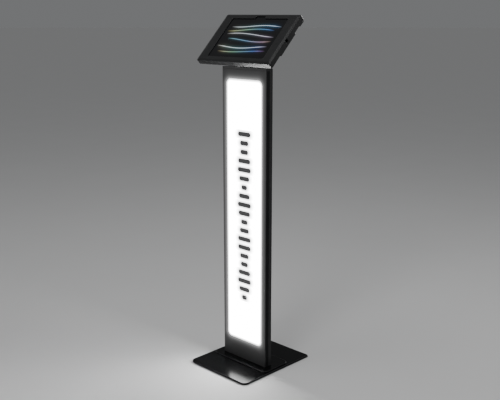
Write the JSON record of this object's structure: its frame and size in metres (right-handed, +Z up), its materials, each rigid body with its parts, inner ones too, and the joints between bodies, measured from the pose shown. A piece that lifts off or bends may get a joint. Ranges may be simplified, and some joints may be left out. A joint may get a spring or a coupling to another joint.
{
  "type": "tablet kiosk stand",
  "caption": "Free-standing kiosk stand: a lit slim post on a flat base carries a tilting, lockable tablet enclosure with a hinged lid.",
  "frame": {"origin": "on the floor under the middle of the base plate", "axes": "+Z up, -Y towards the user in front of the lit window, +X to the right as the user sees it"},
  "size_m": [0.317, 0.3074, 1.1355],
  "materials": {
    "satin_black_steel": "satin black powder coat",
    "gloss_black_steel": "semi-gloss black paint",
    "zinc_steel": "zinc plated steel",
    "black_rubber": "matt black rubber",
    "black_foam": "closed cell foam",
    "opal_acrylic": "opal white acrylic lit from behind",
    "clear_acrylic": "clear acrylic light guide",
    "white_sheet": "matt white reflector",
    "bare_aluminium": "mill finish extrusion",
    "led_strip": "white circuit strip with light chips",
    "black_plastic": "fine textured black plastic",
    "tablet_aluminium": "dark grey anodised aluminium",
    "screen_glass": "polished glass over a dark lit screen",
    "lens_glass": "coated lens",
    "black_nickel": "dark nickel plate"
  },
  "bodies": {
    "stand": {"base_plate": "gloss_black_steel", "base_pads": "black_rubber", "foot_flange": "gloss_black_steel", "foot_bracket": "zinc_steel", "post_bolts": "zinc_steel", "post_shell": "satin_black_steel", "foot_screws": "zinc_steel", "post_fascia": "satin_black_steel", "light_panel": "opal_acrylic", "light_guide": "clear_acrylic", "reflector_sheet": "white_sheet", "backing_foam": "black_foam", "led_rails": "bare_aluminium", "led_strips": "led_strip", "back_cover": "satin_black_steel", "cover_standoffs": "zinc_steel", "cover_screws": "satin_black_steel", "led_driver": "black_plastic", "driver_screws": "zinc_steel", "power_inlet": "black_plastic", "switch_frame": "black_plastic", "entry_grommet": "black_rubber", "post_cap": "satin_black_steel", "top_bracket": "zinc_steel", "top_bracket_screws": "zinc_steel", "cap_grommet": "black_rubber", "neck_bracket": "satin_black_steel", "neck_bolts": "satin_black_steel", "tilt_bolt": "zinc_steel", "tilt_nut": "zinc_steel", "outer_washers": "zinc_steel", "friction_washers": "black_plastic"},
    "head": {"tilt_bracket": "satin_black_steel", "tilt_bracket_screws": "satin_black_steel", "rear_pan": "satin_black_steel", "pan_grommet": "black_rubber", "tablet_case": "tablet_aluminium", "tablet_glass": "screen_glass", "tablet_camera": "lens_glass", "corner_cushions": "black_foam", "pan_hinge_leaf": "satin_black_steel", "hinge_pin": "zinc_steel", "lock_body": "black_nickel", "lock_nut": "zinc_steel"},
    "lid": {"front_cover": "satin_black_steel", "lid_gasket": "black_foam", "lid_hinge_leaf": "satin_black_steel", "lock_keeper": "zinc_steel"},
    "lock": {"lock_plug": "black_nickel", "lock_cam": "zinc_steel"},
    "rocker": {"power_rocker": "black_plastic"},
    "power_key": {"power_button": "tablet_aluminium"},
    "volume_up_key": {"volume_up_button": "tablet_aluminium"},
    "volume_down_key": {"volume_down_button": "tablet_aluminium"}
  },
  "joints": [
    {"name": "head_tilt", "type": "hinge", "parent": "stand", "child": "head", "pos_m": [0, -0.012, 1.008], "axis": [1, 0, 0], "range_deg": [-25, 20]},
    {"name": "lid_open", "type": "hinge", "parent": "head", "child": "lid", "pos_m": [0, 0.06742, 1.11731], "axis": [-1, 0, 0], "range_deg": [0, 110]},
    {"name": "lock_turn", "type": "hinge", "parent": "head", "child": "lock", "pos_m": [0, -0.04735, 0.98753], "axis": [0, 0.712, -0.7022], "range_deg": [0, 90]},
    {"name": "switch_rock", "type": "hinge", "parent": "stand", "child": "rocker", "pos_m": [0.014, -0.0015, 0.0535], "axis": [-1, 0, 0], "range_deg": [0, 14]},
    {"name": "power_press", "type": "slide", "parent": "head", "child": "power_key", "axis": [1, 0, 0], "range_m": [0, 0.0003], "stiffness_N_per_m": 2000},
    {"name": "volume_up_press", "type": "slide", "parent": "head", "child": "volume_up_key", "axis": [0, -0.7022, -0.712], "range_m": [0, 0.0003], "stiffness_N_per_m": 2000},
    {"name": "volume_down_press", "type": "slide", "parent": "head", "child": "volume_down_key", "axis": [0, -0.7022, -0.712], "range_m": [0, 0.0003], "stiffness_N_per_m": 2000}
  ]
}
